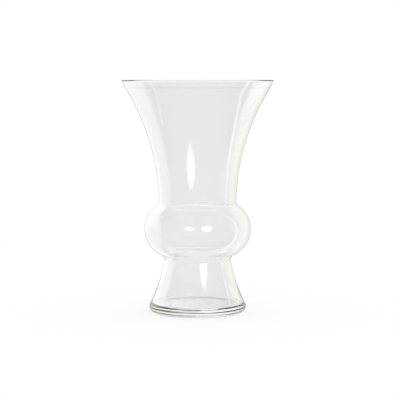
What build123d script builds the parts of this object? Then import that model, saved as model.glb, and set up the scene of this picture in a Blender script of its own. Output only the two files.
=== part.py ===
from build123d import *
import os

# A clear blown-glass vase for forcing a hyacinth bulb over water. Four gathers of glass are fused
# end to end: a flared bowl, a round bulb cup, a flared hollow foot and a thick base. The vase is
# round about the Z axis and stands on z = 0. Sizes are in millimetres, and each diameter is that
# of the outside of the glass unless it says otherwise.

# Heights of the stretches, from the floor up
foot_height = 48.4  # floor to waist, where the bulb cup is fused to the foot
cup_lower_height = 23.6  # waist to the widest part of the bulb cup
cup_upper_height = 21.2  # widest part of the bulb cup to neck, where the bowl is fused on
bowl_height = 106.8  # neck to rim
base_height = 16.0  # floor to the seam between the base and the rest of the foot

# Diameters
rim_diameter = 131.2
neck_diameter = 67.0
cup_diameter = 91.8
waist_diameter = 56.6
foot_diameter = 91.0  # where the foot's side would meet the floor if the heel were sharp

# Bowl: its lip turns back up a little under the rim
lip_height = 12.0
lip_spread = 6.2  # how much the lip's radius grows from its lower end to the rim

# Foot: its side curves in from a straight cone, outside and inside
foot_hollow = 2.7
well_hollow = 1.2

# Glass
wall = 2.2
heel_thickness = 6.8  # of the foot's side at its lower end, if the heel were sharp
base_thickness = 7.0
kick_depth = 1.2  # hollow under the base, so that it stands on a ring
kick_diameter = 60.0

# Rounded edges
rim_radius = 0.9
crease_radius = 4.0  # outside of the neck and the waist
inner_crease_radius = crease_radius + wall
floor_corner_radius = 1.0
heel_radius = 5.0

# Heights above the floor
cup_height = foot_height + cup_lower_height
neck_height = cup_height + cup_upper_height
overall_height = neck_height + bowl_height

# Corners of the section, each as a radius and a height
rim_point = Vector(rim_diameter / 2, overall_height)
lip_point = rim_point - Vector(lip_spread, lip_height)
neck_point = Vector(neck_diameter / 2, neck_height)
cup_point = Vector(cup_diameter / 2, cup_height)
waist_point = Vector(waist_diameter / 2, foot_height)
heel_point = Vector(foot_diameter / 2, 0)
kick_point = Vector(kick_diameter / 2, 0)
well_point = Vector(foot_diameter / 2 - heel_thickness, base_thickness)
wall_across = Vector(wall, 0)


def strip(width, low, high):
    """A flat rectangle of the section, from the axis out and between two heights."""
    return Pos(width / 2, (low + high) / 2) * Rectangle(width, high - low)


def area_to_axis(outline):
    """The area between the axis and an outline that runs from one height to another."""
    start = outline @ 0
    end = outline @ 1
    closing = Polyline(end, (0, end.Y), (0, start.Y), start)
    return make_face(outline.edges() + closing.edges())


def bowl_lip(side):
    """The lip's arc, on the end of the bowl's side."""
    return TangentArc(lip_point, rim_point, tangent=side % 1)


def bowl_outside():
    """The outside of the bowl: an arc that starts upright at the neck, and the lip."""
    side = TangentArc(neck_point, lip_point, tangent=(0, 1))
    return side, bowl_lip(side)


def cup_outside(end):
    """Half of the outside of the bulb cup: an arc that starts upright at the widest part."""
    return TangentArc(cup_point, end, tangent=(0, end.Y - cup_point.Y))


def bowl_hollow():
    """The hollow of the bowl, whose side runs on below the neck into the bulb cup."""
    below_neck = Vector(lip_point.X, 2 * neck_height - lip_point.Y)
    side = ThreePointArc(below_neck, neck_point, lip_point)
    inside = Wire([side, bowl_lip(side)]).offset_2d(wall, side=Side.LEFT, closed=False)
    return area_to_axis(inside) & strip(rim_point.X, cup_height, overall_height)


def cup_hollow(end):
    """Half of the hollow of the bulb cup."""
    outside = cup_outside(end)
    low, high = sorted((cup_height, end.Y))
    return Pos(outside.arc_center) * Circle(outside.radius - wall) & strip(cup_point.X, low, high)


def well_area():
    """The hollow of the foot, from the base up into the bulb cup."""
    side = SagittaArc(well_point, waist_point - wall_across, well_hollow)
    outside = Pos(side.arc_center) * Circle(side.radius)
    return strip(side.arc_center.X, base_thickness, cup_height) - outside


def kick_area():
    """The shallow hollow under the base."""
    radius = (kick_point.X**2 + kick_depth**2) / (2 * kick_depth)
    return Pos(0, kick_depth - radius) * Circle(radius)


def rounded(section, radius, *corners):
    """The section with its corners nearest to the given points rounded."""
    for corner in corners:
        section = fillet(section.vertices().sort_by_distance(corner)[0], radius)
    return section


def glass_section():
    """The whole wall of the vase, cut along the axis on one side."""
    foot = SagittaArc(heel_point, waist_point, foot_hollow)
    outside = Wire([*bowl_outside(), cup_outside(neck_point), cup_outside(waist_point), foot])
    section = area_to_axis(outside)
    section -= bowl_hollow()
    section -= cup_hollow(neck_point)
    section -= cup_hollow(waist_point)
    section -= well_area()
    section -= kick_area()
    section = rounded(section, rim_radius, rim_point, rim_point - wall_across)
    section = rounded(section, crease_radius, neck_point, waist_point)
    section = rounded(section, inner_crease_radius, neck_point - wall_across, waist_point - wall_across)
    section = rounded(section, floor_corner_radius, well_point)
    return rounded(section, heel_radius, heel_point)


def gather(section, low, high):
    """One gather of glass: the section between two heights, turned about the axis."""
    cut = section & strip(rim_diameter, low, high)
    return revolve(Plane.XZ * cut, Axis.Z)


section = glass_section()
parts = {
    "flared_bowl": gather(section, neck_height, overall_height),
    "bulb_cup": gather(section, foot_height, neck_height),
    "flared_foot": gather(section, base_height, foot_height),
    "thick_base": gather(section, 0, base_height),
}

os.makedirs("parts", exist_ok=True)
for name, part in parts.items():
    part.label = name
    export_step(part, f"parts/{name}.step")
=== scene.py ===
import math

import bpy
import numpy as np
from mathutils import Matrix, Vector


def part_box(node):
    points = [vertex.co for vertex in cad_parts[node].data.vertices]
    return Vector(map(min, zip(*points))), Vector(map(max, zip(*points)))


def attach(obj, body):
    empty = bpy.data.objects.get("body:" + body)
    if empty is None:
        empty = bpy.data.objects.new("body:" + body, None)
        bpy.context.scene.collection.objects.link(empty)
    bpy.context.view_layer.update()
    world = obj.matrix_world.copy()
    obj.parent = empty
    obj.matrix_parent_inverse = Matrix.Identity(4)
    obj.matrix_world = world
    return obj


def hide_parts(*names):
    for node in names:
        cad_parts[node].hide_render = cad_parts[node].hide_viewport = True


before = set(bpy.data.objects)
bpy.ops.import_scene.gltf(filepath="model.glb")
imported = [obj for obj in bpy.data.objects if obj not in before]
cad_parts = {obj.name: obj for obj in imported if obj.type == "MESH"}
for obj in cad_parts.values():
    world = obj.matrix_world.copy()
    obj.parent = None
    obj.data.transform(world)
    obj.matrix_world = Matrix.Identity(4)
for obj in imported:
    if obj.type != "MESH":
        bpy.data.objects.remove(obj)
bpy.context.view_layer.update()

# A clear blown-glass forcing vase, made as one continuous wall of glass that is cut at its fused seams
# into the four gathers of the frame. Lengths are in metres. The wall's section is drawn on one side of
# the Z axis, as points of (radius, height).

MM = 0.001

# Sizes read from the frame
base_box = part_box("thick_base")
foot_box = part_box("flared_foot")
cup_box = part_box("bulb_cup")
bowl_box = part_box("flared_bowl")
OVERALL_HEIGHT = bowl_box[1].z
NECK_HEIGHT = cup_box[1].z
WAIST_HEIGHT = foot_box[1].z
BASE_SEAM_HEIGHT = base_box[1].z
CUP_RADIUS = cup_box[1].x

# Sizes of the section that the frame's boxes don't give
CUP_HEIGHT = 72.0 * MM
RIM_RADIUS = 65.58 * MM  # a hair under the solids', so that the mesh stays inside their box
NECK_RADIUS = 33.5 * MM
WAIST_RADIUS = 28.3 * MM
FOOT_RADIUS = 45.5 * MM
LIP_HEIGHT = 12.0 * MM
LIP_SPREAD = 6.2 * MM
FOOT_HOLLOW = 2.7 * MM
WELL_HOLLOW = 1.2 * MM
WALL = 2.2 * MM
HEEL_THICKNESS = 6.8 * MM
BASE_THICKNESS = 7.0 * MM
KICK_DEPTH = 1.2 * MM
KICK_RADIUS = 30.0 * MM

# Radii of the rounded edges
RIM_ROUND = 0.9 * MM
CREASE_ROUND = 4.0 * MM
FLOOR_ROUND = 1.0 * MM
HEEL_ROUND = 5.0 * MM

# Fineness of the outline and the meshes, and the directions of the segments around the axis
OUTLINE_STEP = 0.05 * MM
CORNER_POINTS = 40
MESH_STEP = 2.0 * MM
MESH_TURN = math.radians(4.0)
SEGMENTS = 192
AROUND = [(math.cos(turn), math.sin(turn)) for turn in np.arange(SEGMENTS) * 2 * math.pi / SEGMENTS]

# Distances under which two points are one, and under which a point is on the axis
SAME_POINT = 1e-9
ON_AXIS = 1e-7

# Glass: what it takes off red, green and blue light per metre, how many times as much in the base, and the
# shares of the light that pass into it straight and at its edges, which are where Facing is in this range
ABSORPTION = {"Red": 0.40, "Green": 0.39, "Blue": 0.48}
BASE_DENSITY = 2.5
BASE_FADE = (0.4 * BASE_SEAM_HEIGHT, BASE_SEAM_HEIGHT)  # heights over which the base's glass gives way
ENTRY_SHARE = 0.976
EDGE_SHARE = 0.62
EDGE_FACING = (0.75, 1.0)

# How much the glass bends light, and how much its rounded rim does: less than it should, which together
# with a slight tint keeps the rim's line nearly as pale as the photograph's
GLASS_INDEX = 1.5
RIM_INDEX = 1.2
RIM_BAND = (OVERALL_HEIGHT - 1.6 * MM, OVERALL_HEIGHT - 0.8 * MM)
# The tint on the rim's rounding is painted shade, which darkens the rim's line to grey
RIM_SHADE_RISE = (0.5, 1.0)  # shares of the band over which the tint comes in
RIM_SHADE_SHARE = 0.95

# Faint ring under the rim: its height, its half width from sharp to faded, and the share of light it passes
LIP_RING_HEIGHT = OVERALL_HEIGHT - 6.7 * MM
LIP_RING_WIDTH = (0.2 * MM, 0.7 * MM)
LIP_RING_SHARE = 0.955

# Relief of the glass: heights, and numbers of waves per metre along each axis
RIPPLE_HEIGHT = 0.010 * MM
RIPPLE_WAVES = (45, 45, 30)
MOULD_RING_HEIGHT = 0.002 * MM
MOULD_RING_WAVES = (10, 10, 260)
UNEVEN_HEIGHT = 0.10 * MM
UNEVEN_WAVES = (110, 110, 110)
NOISE_DETAIL = 2.0

# Roughness: smudges all over, and scuffs up to a height on the standing ring
SMUDGE_WAVES = (28, 28, 40)
SMUDGE_NOISE = (0.55, 0.75)
SMUDGE_ROUGHNESS = 0.015
SCUFF_WAVES = (700, 700, 700)
SCUFF_NOISE = (0.40, 0.65)
SCUFF_ROUGHNESS = (0.05, 0.40)
SCUFF_HEIGHTS = (0.1 * MM, 0.5 * MM)

# Floor
FLOOR_RADIUS = 3 * OVERALL_HEIGHT
FLOOR_DROP = 0.2 * MM
FLOOR_SIDES = 96
FLOOR_SHADE = 0.2
FLOOR_GLOW = 0.805

# Studio that the glass reflects. Each range is of one part of a direction: x to the right, y away from the
# camera and z up.
SIDE_CHANGE = (-0.1, 0.1)  # of x, from the left side to the right
PANEL_RISE = (-0.15, 0.25)  # of z, over which the panels get brighter
LEFT_MIDDLE = -0.05  # of z, where the left panel reaches farthest forward
LEFT_CURVE = 1.5
LEFT_START = (-0.21, -0.01)  # of y, in the left panel's middle
LEFT_LEVELS = (0.55, 0.90)
RIGHT_START = (0.22, 0.34)  # of y
RIGHT_LEVELS = (0.42, 0.50)
STRIP_START = (0.04, 0.07)  # of y
STRIP_END = (0.12, 0.15)  # of y
STRIP_LEVEL = 1.6
BACK_START = (0.0, 0.8)  # of y
BACK_LEVEL = 0.45
WALL_END = (0.55, 0.9)  # of z, up or down
WALL_END_LEVEL = 0.2
TABLE_END = (-0.85, -0.65)  # of z
TABLE_START = (-0.05, 0.05)  # of y
TABLE_LEVEL = 0.85
YELLOW_START = (0.2, 0.6)  # of x
YELLOW = 0.12

# Lamp, with its direction as angles to the right of the camera and above the horizon
LAMP_AZIMUTH = math.radians(20.5)
LAMP_ELEVATION = math.radians(15.0)
LAMP_RADIUS = math.radians(12.5)
LAMP_EDGE = math.radians(1.0)
LAMP_LEVEL = 2.7

# Counts of a ray's passes and reflections: those that only the near wall gives, those after which light is
# even, and those over which light that goes round in the glass fades, with the level it fades to
NEAR_PASSES = 2.5
EVEN_COUNT = 2.5
FADE_COUNTS = (6.0, 16.0)
FADE_LEVEL = 0.2

# Bounces that a ray may take
BOUNCES = 256

# Camera, with the rows and the column of the photograph that the rim, the base and the axis fall on
CAMERA_DISTANCE = 1.32
SENSOR_WIDTH = 36.0
IMAGE_SIZE = 400
RIM_ROW = 80.0
BASE_ROW = 311.5
AXIS_COLUMN = 197.6
AIM_ROUNDS = 20


def point(radius, height):
    return np.array([radius, height], float)


def line(start, end):
    """Points along a straight stretch."""
    count = max(2, math.ceil(np.linalg.norm(end - start) / OUTLINE_STEP))
    share = np.linspace(0, 1, count)[:, None]
    return start + share * (end - start)


def arc(centre, start, end):
    """Points along the shorter arc about a centre."""
    radius = np.linalg.norm(start - centre)
    first = math.atan2(start[1] - centre[1], start[0] - centre[0])
    last = math.atan2(end[1] - centre[1], end[0] - centre[0])
    turn = (last - first + math.pi) % (2 * math.pi) - math.pi
    count = max(2, math.ceil(abs(turn) * radius / OUTLINE_STEP))
    angles = first + turn * np.linspace(0, 1, count)
    return centre + radius * np.stack([np.cos(angles), np.sin(angles)], axis=1)


def lengths(points):
    """Distance along a stretch, at each of its points."""
    steps = np.linalg.norm(np.diff(points, axis=0), axis=1)
    return np.concatenate([[0], np.cumsum(steps)])


def direction(points, index):
    """Unit direction of a stretch at its first or last point."""
    step = points[1] - points[0] if index == 0 else points[-1] - points[-2]
    return step / np.linalg.norm(step)


def shortened(points, cut):
    """A stretch with a length cut off its end."""
    along = lengths(points)
    kept = points[along < along[-1] - cut]
    end = [np.interp(along[-1] - cut, along, points[:, axis]) for axis in (0, 1)]
    return np.vstack([kept, end])


def round_corner(before, after, radius):
    """Two stretches that meet at a corner, with a curve of about that radius between them."""
    ahead = direction(before, -1)
    away = direction(after, 0)
    turn = math.acos(np.clip(ahead @ away, -1, 1))
    cut = radius * math.tan(turn / 2)
    before = shortened(before, cut)
    after = shortened(after[::-1], cut)[::-1]
    start, end = before[-1], after[0]
    ahead, away = direction(before, -1), direction(after, 0)
    reach = np.linalg.solve(np.stack([ahead, away], axis=1), end - start)
    corner = start + reach[0] * ahead
    share = np.linspace(0, 1, CORNER_POINTS)[:, None]
    from_start = (1 - share) ** 2
    from_corner = 2 * math.cos(turn / 2) * share * (1 - share)
    from_end = share**2
    curve = from_start * start + from_corner * corner + from_end * end
    return before, curve / (from_start + from_corner + from_end), after


def joined(first, *rest):
    """One outline through several stretches, each given with the radius of the corner before it."""
    stretches = [first]
    for radius, stretch in rest:
        if radius:
            stretches[-1:] = round_corner(stretches[-1], stretch, radius)
        else:
            stretches.append(stretch)
    points = np.vstack(stretches)
    moved = np.linalg.norm(np.diff(points, axis=0), axis=1) > SAME_POINT
    return points[np.concatenate([[True], moved])]


def upright_centre(upright, end):
    """Centre of the arc that is upright at one point and runs on to an end."""
    across, up = end - upright
    return point(upright[0] + (across**2 + up**2) / (2 * across), upright[1])


def tangent_centre(start, heading, end):
    """Centre of the arc that leaves a point with a heading and runs on to an end."""
    chord = end - start
    side = point(-heading[1], heading[0])
    return start + side * (chord @ chord) / (2 * chord @ side)


def sagging_centre(start, end, sag):
    """Centre of the arc from start to end that lies a sag to the left of its chord."""
    chord = end - start
    length = np.linalg.norm(chord)
    radius = (length**2 / 4 + sag**2) / (2 * sag)
    left = point(-chord[1], chord[0]) / length
    return (start + end) / 2 + left * (sag - radius)


def outward(points):
    """Unit normals of an outline, to the right of its run."""
    tangent = np.gradient(points, lengths(points), axis=0)
    tangent /= np.linalg.norm(tangent, axis=1)[:, None]
    return np.stack([tangent[:, 1], -tangent[:, 0]], axis=1)


def rising_to(points, height):
    """The part of a rising stretch below a height."""
    radius = np.interp(height, points[:, 1], points[:, 0])
    return np.vstack([points[points[:, 1] < height], point(radius, height)])


def meeting(first, second):
    """Two stretches cut off where the first rises through the floor that the second starts with."""
    cup_floor = second[second[:, 1] < CUP_HEIGHT]
    heights = np.interp(first[:, 0], cup_floor[:, 0], cup_floor[:, 1])
    last = int(np.argmax(first[:, 1] > heights))
    start = int(np.argmax(second[:, 0] > first[last, 0]))
    return first[: last + 1], second[start:]


def section():
    """The whole wall's outline: under the base, up the outside, over the rim and down the inside."""
    rim = point(RIM_RADIUS, OVERALL_HEIGHT)
    lip = rim - point(LIP_SPREAD, LIP_HEIGHT)
    neck = point(NECK_RADIUS, NECK_HEIGHT)
    cup = point(CUP_RADIUS, CUP_HEIGHT)
    waist = point(WAIST_RADIUS, WAIST_HEIGHT)
    heel = point(FOOT_RADIUS, 0)
    kick = point(0, KICK_DEPTH)
    kick_edge = point(KICK_RADIUS, 0)
    well = point(FOOT_RADIUS - HEEL_THICKNESS, BASE_THICKNESS)
    well_top = waist - point(WALL, 0)

    bowl = arc(upright_centre(neck, lip), neck, lip)
    cup_centre = upright_centre(cup, waist)
    cup_bottom = cup_centre - point(0, cup[0] - cup_centre[0])

    def upper_side(start):
        """The outside of the bulb cup and the bowl, from a point on the cup's lower arc."""
        return joined(
            arc(cup_centre, start, cup),
            (None, arc(upright_centre(cup, neck), cup, neck)),
            (CREASE_ROUND, bowl),
            (None, arc(tangent_centre(lip, direction(bowl, -1), rim), lip, rim)),
        )

    whole_side = upper_side(cup_bottom)
    upper_inside = rising_to(whole_side - WALL * outward(whole_side), OVERALL_HEIGHT)
    well_centre = sagging_centre(well, well_top, WELL_HOLLOW)
    well_wall = arc(well_centre, well, point(well_top[0], 2 * well_centre[1] - well_top[1]))
    well_wall, upper_inside = meeting(well_wall, upper_inside)
    inside = joined(upper_inside[::-1], (CREASE_ROUND + WALL, well_wall[::-1]))
    kick_centre = point(0, (KICK_DEPTH**2 - KICK_RADIUS**2) / (2 * KICK_DEPTH))
    return joined(
        arc(kick_centre, kick, kick_edge),
        (None, line(kick_edge, heel)),
        (HEEL_ROUND, arc(sagging_centre(heel, waist, FOOT_HOLLOW), heel, waist)),
        (CREASE_ROUND, upper_side(waist)),
        (RIM_ROUND, line(rim, inside[0])),
        (RIM_ROUND, inside),
        (FLOOR_ROUND, line(well, point(0, BASE_THICKNESS))),
    )


class Outline:
    """The wall's outline, measured along its length, with its outward normals."""

    def __init__(self, points):
        self.points = points
        self.along = lengths(points)
        self.normals = outward(points)
        heading = np.unwrap(np.arctan2(self.normals[:, 1], self.normals[:, 0]))
        turning = np.concatenate([[0], np.cumsum(np.abs(np.diff(heading)))])
        self.fineness = self.along / MESH_STEP + turning / MESH_TURN
        self.rim = int(np.argmax(points[:, 1]))

    def outside(self, height):
        """Distance along the outline to a height on the outside."""
        start = int(np.argmin(self.points[: self.rim, 1][1:])) + 1
        return np.interp(height, self.points[start : self.rim, 1], self.along[start : self.rim])

    def inside(self, height):
        """Distance along the outline to a height on the inside."""
        return np.interp(-height, -self.points[self.rim :, 1], self.along[self.rim :])

    def wall(self, low, high):
        """The outside and the inside between two heights, each from one distance to another."""
        return [(self.outside(low), self.outside(high)), (self.inside(high), self.inside(low))]

    def stretch(self, start, end):
        """Points and normals between two distances, closer together where the outline bends."""
        low, high = np.interp([start, end], self.along, self.fineness)
        spread = np.linspace(low, high, math.ceil(high - low) + 1)
        at = np.interp(spread, self.fineness, self.along)
        points = np.stack([np.interp(at, self.along, self.points[:, axis]) for axis in (0, 1)], axis=1)
        normals = np.stack([np.interp(at, self.along, self.normals[:, axis]) for axis in (0, 1)], axis=1)
        return points, normals / np.linalg.norm(normals, axis=1)[:, None]


def turned_rings(points):
    """Vertices that an outline's points make around the axis, and the indices of each point's ring."""
    vertices = []
    rings = []
    for radius, height in points:
        if radius < ON_AXIS:
            rings.append([len(vertices)] * SEGMENTS)
            vertices.append((0, 0, height))
            continue
        rings.append(range(len(vertices), len(vertices) + SEGMENTS))
        vertices.extend((radius * x, radius * y, height) for x, y in AROUND)
    return vertices, rings


def face_corners(rings, first, second, segment):
    """Corners of a face between two rings, each as a ring and a segment: three if one is on the axis."""
    following = (segment + 1) % SEGMENTS
    if rings[first][segment] == rings[first][following]:
        return [(first, segment), (second, following), (second, segment)]
    if rings[second][segment] == rings[second][following]:
        return [(first, segment), (first, following), (second, segment)]
    return [(first, segment), (first, following), (second, following), (second, segment)]


def turned_faces(points, normals, owner, rings):
    """Faces from ring to ring, the material slot of each, and the normals at their corners."""
    pairs = list(zip(range(len(points)), range(1, len(points))))
    if points[0, 0] > ON_AXIS:
        pairs.append((len(points) - 1, 0))
    faces = []
    slots = []
    corner_normals = []
    for first, second in pairs:
        is_seam = owner[first] != owner[second] or second < first
        along = points[second] - points[first]
        flat = point(along[1], -along[0]) / np.linalg.norm(along)
        for segment in range(SEGMENTS):
            corners = face_corners(rings, first, second, segment)
            faces.append([rings[ring][place] for ring, place in corners])
            slots.append(1 if is_seam else 0)
            for ring, place in corners:
                across, up = flat if is_seam else normals[ring]
                x, y = AROUND[place]
                corner_normals.append((across * x, across * y, up))
    return faces, slots, corner_normals


def turned(name, stretches, glass, seam):
    """A closed mesh turned about the axis. Wall stretches are glass, and what joins them is a fused seam."""
    outlines, facings = zip(*stretches)
    points = np.vstack(outlines)
    owner = np.repeat(np.arange(len(outlines)), [len(outline) for outline in outlines])
    vertices, rings = turned_rings(points)
    faces, slots, corner_normals = turned_faces(points, np.vstack(facings), owner, rings)
    mesh = bpy.data.meshes.new(name)
    mesh.from_pydata(vertices, [], faces)
    mesh.materials.append(glass)
    mesh.materials.append(seam)
    mesh.polygons.foreach_set("material_index", slots)
    mesh.polygons.foreach_set("use_smooth", [True] * len(faces))
    mesh.normals_split_custom_set(corner_normals)
    mesh.update()
    piece = bpy.data.objects.new(name, mesh)
    bpy.context.scene.collection.objects.link(piece)
    return piece


class Graph:
    """A node tree, with short calls for the nodes that the materials and the world share."""

    def __init__(self, owner):
        owner.use_nodes = True
        self.nodes = owner.node_tree.nodes
        self.links = owner.node_tree.links
        self.nodes.clear()

    def put(self, socket, value):
        """Set a socket to a number, a vector, a colour or another node's output."""
        if isinstance(value, bpy.types.NodeSocket):
            self.links.new(value, socket)
        else:
            socket.default_value = value

    def add(self, kind, **inputs):
        """A node with some of its inputs set, named with underscores for spaces."""
        node = self.nodes.new(kind)
        for name, value in inputs.items():
            self.put(node.inputs[name.replace("_", " ")], value)
        return node

    def math(self, operation, first, second=0.0):
        node = self.nodes.new("ShaderNodeMath")
        node.operation = operation
        self.put(node.inputs[0], first)
        self.put(node.inputs[1], second)
        return node.outputs["Value"]

    def times(self, first, second):
        return self.math("MULTIPLY", first, second)

    def vector(self, operation, first, second, output):
        node = self.nodes.new("ShaderNodeVectorMath")
        node.operation = operation
        self.put(node.inputs[0], first)
        self.put(node.inputs[1], second)
        return node.outputs[output]

    def ramp(self, value, over, at_low, at_high):
        """A smooth step from one level to another, over a range of a value."""
        low, high = over
        node = self.add("ShaderNodeMapRange", From_Min=low, From_Max=high, To_Min=at_low, To_Max=at_high)
        node.interpolation_type = "SMOOTHSTEP"
        self.put(node.inputs["Value"], value)
        return node.outputs["Result"]

    def mix(self, share, first, second):
        return self.add("ShaderNodeMix", Factor=share, A=first, B=second).outputs["Result"]

    def noise(self, place, waves):
        """Noise with a number of waves per metre along each axis."""
        scaled = self.vector("MULTIPLY", place, waves, "Vector")
        return self.add("ShaderNodeTexNoise", Vector=scaled, Scale=1.0, Detail=NOISE_DETAIL).outputs[0]

    def is_reflected(self):
        """1 for a ray that has been reflected on its way, or else 0."""
        reflections = self.add("ShaderNodeLightPath").outputs["Glossy Depth"]
        return self.math("GREATER_THAN", reflections, 0.5)

    def finish(self, kind, shader):
        self.put(self.nodes.new(kind).inputs["Surface"], shader)


def edge_tint(graph, place):
    """Share of the light that passes into the glass, which is less at the slanted edges of the outside."""
    normal = graph.add("ShaderNodeTexCoord").outputs["Normal"]
    across = graph.vector("MULTIPLY", place, (1, 1, 0), "Vector")
    turned_out = graph.vector("DOT_PRODUCT", normal, across, "Value")
    is_outside = graph.math("GREATER_THAN", turned_out, 0.0)
    facing = graph.add("ShaderNodeLayerWeight", Blend=0.5).outputs["Facing"]
    return graph.ramp(graph.times(facing, is_outside), EDGE_FACING, ENTRY_SHARE, EDGE_SHARE)


def lip_ring_and_rim_shade(graph, height, at_rim):
    """Share of the light that the faint ring under the rim passes, times the painted shade that darkens the
    rim's rounding to a grey line.
    """
    from_ring = graph.math("ABSOLUTE", graph.math("SUBTRACT", height, LIP_RING_HEIGHT))
    ring = graph.ramp(from_ring, LIP_RING_WIDTH, LIP_RING_SHARE, 1.0)
    return graph.times(ring, graph.ramp(at_rim, RIM_SHADE_RISE, 1.0, RIM_SHADE_SHARE))


def glass_colour(graph, place, height, in_base, at_rim):
    """What a ray keeps on its way into the glass, and inside it, where it keeps less the longer the way."""
    entering = graph.times(edge_tint(graph, place), lip_ring_and_rim_shade(graph, height, at_rim))
    ray_length = graph.add("ShaderNodeLightPath").outputs["Ray Length"]
    length = graph.times(ray_length, graph.mix(in_base, 1.0, BASE_DENSITY))
    is_inside = graph.add("ShaderNodeNewGeometry").outputs["Backfacing"]
    kept = {}
    for channel, loss in ABSORPTION.items():
        kept[channel] = graph.mix(is_inside, entering, graph.math("POWER", math.exp(-loss), length))
    return graph.add("ShaderNodeCombineColor", **kept).outputs["Color"]


def glass_relief(graph, place, in_base):
    """Broad ripples from the blowing, fine rings from the turning in the mould, and an uneven base."""
    ripples = graph.times(graph.noise(place, RIPPLE_WAVES), RIPPLE_HEIGHT)
    rings = graph.times(graph.noise(place, MOULD_RING_WAVES), MOULD_RING_HEIGHT)
    uneven = graph.times(graph.noise(place, UNEVEN_WAVES), UNEVEN_HEIGHT)
    height = graph.math("ADD", ripples, rings)
    height = graph.math("ADD", height, graph.times(uneven, in_base))
    return graph.add("ShaderNodeBump", Height=height, Distance=1.0, Strength=1.0).outputs["Normal"]


def glass_roughness(graph, place, height):
    """Polished all over, but for faint smudges and the scuffed ring that the vase stands on."""
    smudges = graph.ramp(graph.noise(place, SMUDGE_WAVES), SMUDGE_NOISE, 0.0, SMUDGE_ROUGHNESS)
    scratches = graph.ramp(graph.noise(place, SCUFF_WAVES), SCUFF_NOISE, *SCUFF_ROUGHNESS)
    scuffs = graph.times(scratches, graph.ramp(height, SCUFF_HEIGHTS, 1.0, 0.0))
    return graph.math("ADD", smudges, scuffs)


def clear_glass():
    """Colourless blown glass."""
    material = bpy.data.materials.new("clear_glass")
    graph = Graph(material)
    place = graph.add("ShaderNodeTexCoord").outputs["Object"]
    height = graph.add("ShaderNodeSeparateXYZ", Vector=place).outputs["Z"]
    in_base = graph.ramp(height, BASE_FADE, 1.0, 0.0)
    at_rim = graph.ramp(height, RIM_BAND, 0.0, 1.0)
    glass = graph.add(
        "ShaderNodeBsdfGlass",
        Color=glass_colour(graph, place, height, in_base, at_rim),
        Roughness=glass_roughness(graph, place, height),
        IOR=graph.mix(at_rim, GLASS_INDEX, RIM_INDEX),
        Normal=glass_relief(graph, place, in_base),
    )
    graph.finish("ShaderNodeOutputMaterial", glass.outputs["BSDF"])
    return material


def fused_seam():
    """Where two gathers are fused the glass runs on, so the seam's faces are not seen."""
    material = bpy.data.materials.new("fused_seam")
    graph = Graph(material)
    graph.finish("ShaderNodeOutputMaterial", graph.add("ShaderNodeBsdfTransparent").outputs["BSDF"])
    return material


def make_vase():
    """The four gathers, each in its node's place."""
    outline = Outline(section())
    end = outline.along[-1]
    glass = clear_glass()
    seam = fused_seam()
    cuts = {
        "thick_base": [(0, outline.outside(BASE_SEAM_HEIGHT)), (outline.inside(BASE_SEAM_HEIGHT), end)],
        "flared_foot": outline.wall(BASE_SEAM_HEIGHT, WAIST_HEIGHT),
        "bulb_cup": outline.wall(WAIST_HEIGHT, NECK_HEIGHT),
        "flared_bowl": [(outline.outside(NECK_HEIGHT), outline.inside(NECK_HEIGHT))],
    }
    for node, stretches in cuts.items():
        piece = turned(node + "_glass", [outline.stretch(*s) for s in stretches], glass, seam)
        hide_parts(node)
        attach(piece, "root")


def pale_floor():
    """White where it is lit, with the vase's shadow, and not seen in reflections."""
    material = bpy.data.materials.new("pale_floor")
    graph = Graph(material)
    matt = graph.add("ShaderNodeBsdfDiffuse", Color=(FLOOR_SHADE, FLOOR_SHADE, FLOOR_SHADE, 1))
    glow = graph.add("ShaderNodeEmission", Color=(1, 1, 1, 1), Strength=FLOOR_GLOW)
    shadowed = graph.nodes.new("ShaderNodeAddShader")
    graph.put(shadowed.inputs[0], matt.outputs["BSDF"])
    graph.put(shadowed.inputs[1], glow.outputs["Emission"])
    seen = graph.add("ShaderNodeMixShader", Fac=graph.is_reflected())
    graph.put(seen.inputs[1], shadowed.outputs["Shader"])
    graph.put(seen.inputs[2], graph.add("ShaderNodeBsdfTransparent").outputs["BSDF"])
    graph.finish("ShaderNodeOutputMaterial", seen.outputs["Shader"])
    return material


def floor():
    """A round floor, just under the vase."""
    bpy.ops.mesh.primitive_circle_add(
        vertices=FLOOR_SIDES, radius=FLOOR_RADIUS, fill_type="NGON", location=(0, 0, -FLOOR_DROP)
    )
    disc = bpy.context.object
    disc.name = "floor"
    disc.data.materials.append(pale_floor())


def left_panel(graph, y, z):
    """Level of the bright panel on the left, which begins farther back above and below its middle."""
    rise = graph.math("SUBTRACT", z, LEFT_MIDDLE)
    farther = graph.times(graph.times(rise, rise), LEFT_CURVE)
    panel = graph.ramp(graph.math("SUBTRACT", y, farther), LEFT_START, 0.0, 1.0)
    return graph.times(panel, graph.ramp(z, PANEL_RISE, *LEFT_LEVELS))


def right_panel(graph, y, z, passes):
    """Level of the dimmer panel on the right, and of a narrow strip that only the near wall shows."""
    panel = graph.times(graph.ramp(y, RIGHT_START, 0.0, 1.0), graph.ramp(z, PANEL_RISE, *RIGHT_LEVELS))
    strip = graph.times(graph.ramp(y, STRIP_START, 0.0, STRIP_LEVEL), graph.ramp(y, STRIP_END, 1.0, 0.0))
    is_near = graph.math("LESS_THAN", passes, NEAR_PASSES)
    return graph.math("ADD", panel, graph.times(strip, is_near))


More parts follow.
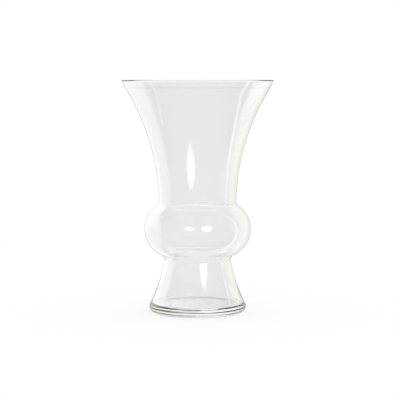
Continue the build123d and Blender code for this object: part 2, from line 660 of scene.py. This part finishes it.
def studio_room(graph, x, y, z, passes):
    """Level of the studio that the glass reflects: dark in front, lighter behind, a panel on each side."""
    on_right = graph.ramp(x, SIDE_CHANGE, 0.0, 1.0)
    sides = graph.mix(on_right, left_panel(graph, y, z), right_panel(graph, y, z, passes))
    back = graph.ramp(y, BACK_START, 0.0, BACK_LEVEL)
    height = graph.ramp(graph.math("ABSOLUTE", z), WALL_END, 1.0, WALL_END_LEVEL)
    walls = graph.times(graph.math("ADD", sides, back), height)
    table = graph.times(graph.ramp(z, TABLE_END, TABLE_LEVEL, 0.0), graph.ramp(y, TABLE_START, 0.0, 1.0))
    return graph.math("MAXIMUM", walls, table)


def lamp(graph, heading):
    """Level of the round lamp in front, to the right and above, whose reflections are the highlights."""
    towards = (
        math.sin(LAMP_AZIMUTH) * math.cos(LAMP_ELEVATION),
        -math.cos(LAMP_AZIMUTH) * math.cos(LAMP_ELEVATION),
        math.sin(LAMP_ELEVATION),
    )
    closeness = graph.vector("DOT_PRODUCT", heading, towards, "Value")
    edge = (math.cos(LAMP_RADIUS + LAMP_EDGE), math.cos(LAMP_RADIUS - LAMP_EDGE))
    return graph.ramp(closeness, edge, 0.0, LAMP_LEVEL)


def studio():
    """White all round for what is seen directly or through the glass, and a studio for its reflections."""
    world = bpy.data.worlds.new("studio")
    bpy.context.scene.world = world
    graph = Graph(world)
    path = graph.add("ShaderNodeLightPath").outputs
    reflections = path["Glossy Depth"]
    passes = path["Transmission Depth"]
    heading = graph.add("ShaderNodeTexCoord").outputs["Generated"]
    parts = graph.add("ShaderNodeSeparateXYZ", Vector=heading).outputs
    room = studio_room(graph, parts["X"], parts["Y"], parts["Z"], passes)
    lit = graph.math("ADD", room, lamp(graph, heading))

    # Light that goes round and round in the heel fades, and light handed on from wall to wall evens out
    faded = graph.times(lit, graph.ramp(reflections, FADE_COUNTS, 1.0, FADE_LEVEL))
    is_even = graph.math("GREATER_THAN", graph.math("MINIMUM", reflections, passes), EVEN_COUNT)
    is_reflected = graph.is_reflected()
    strength = graph.mix(is_reflected, 1.0, graph.mix(is_even, faded, 1.0))

    # The right side of the studio is a little yellow
    yellow = graph.times(is_reflected, graph.ramp(parts["X"], YELLOW_START, 0.0, YELLOW))
    blue = graph.math("SUBTRACT", 1.0, yellow)
    colour = graph.add("ShaderNodeCombineColor", Red=1.0, Green=1.0, Blue=blue).outputs["Color"]
    background = graph.add("ShaderNodeBackground", Color=colour, Strength=strength)
    graph.finish("ShaderNodeOutputWorld", background.outputs["Background"])


def camera():
    """The photograph's view: at the height of the rim, aimed a little below the vase's middle."""
    centre = IMAGE_SIZE / 2
    below = math.atan2(OVERALL_HEIGHT, CAMERA_DISTANCE)
    tilt = below / 2

    # The focal length and the tilt depend on each other, and settle within the rounds
    for _ in range(AIM_ROUNDS):
        focal = (BASE_ROW - RIM_ROW) / (math.tan(tilt) + math.tan(below - tilt))
        tilt = math.atan((centre - RIM_ROW) / focal)
    data = bpy.data.cameras.new("camera")
    data.sensor_width = SENSOR_WIDTH
    data.lens = focal * SENSOR_WIDTH / IMAGE_SIZE
    eye = bpy.data.objects.new("camera", data)
    aside = (centre - AXIS_COLUMN) * CAMERA_DISTANCE / focal
    eye.location = (aside, -CAMERA_DISTANCE, OVERALL_HEIGHT)
    eye.rotation_euler = (math.pi / 2 - tilt, 0, 0)
    bpy.context.scene.collection.objects.link(eye)
    bpy.context.scene.camera = eye


def render_settings():
    """Plain view of the colours, and enough bounces for light that stays long in the glass."""
    scene = bpy.context.scene
    scene.view_settings.view_transform = "Standard"
    scene.cycles.max_bounces = BOUNCES
    scene.cycles.transmission_bounces = BOUNCES
    scene.cycles.glossy_bounces = BOUNCES
    scene.cycles.transparent_max_bounces = BOUNCES


make_vase()
floor()
studio()
camera()
render_settings()
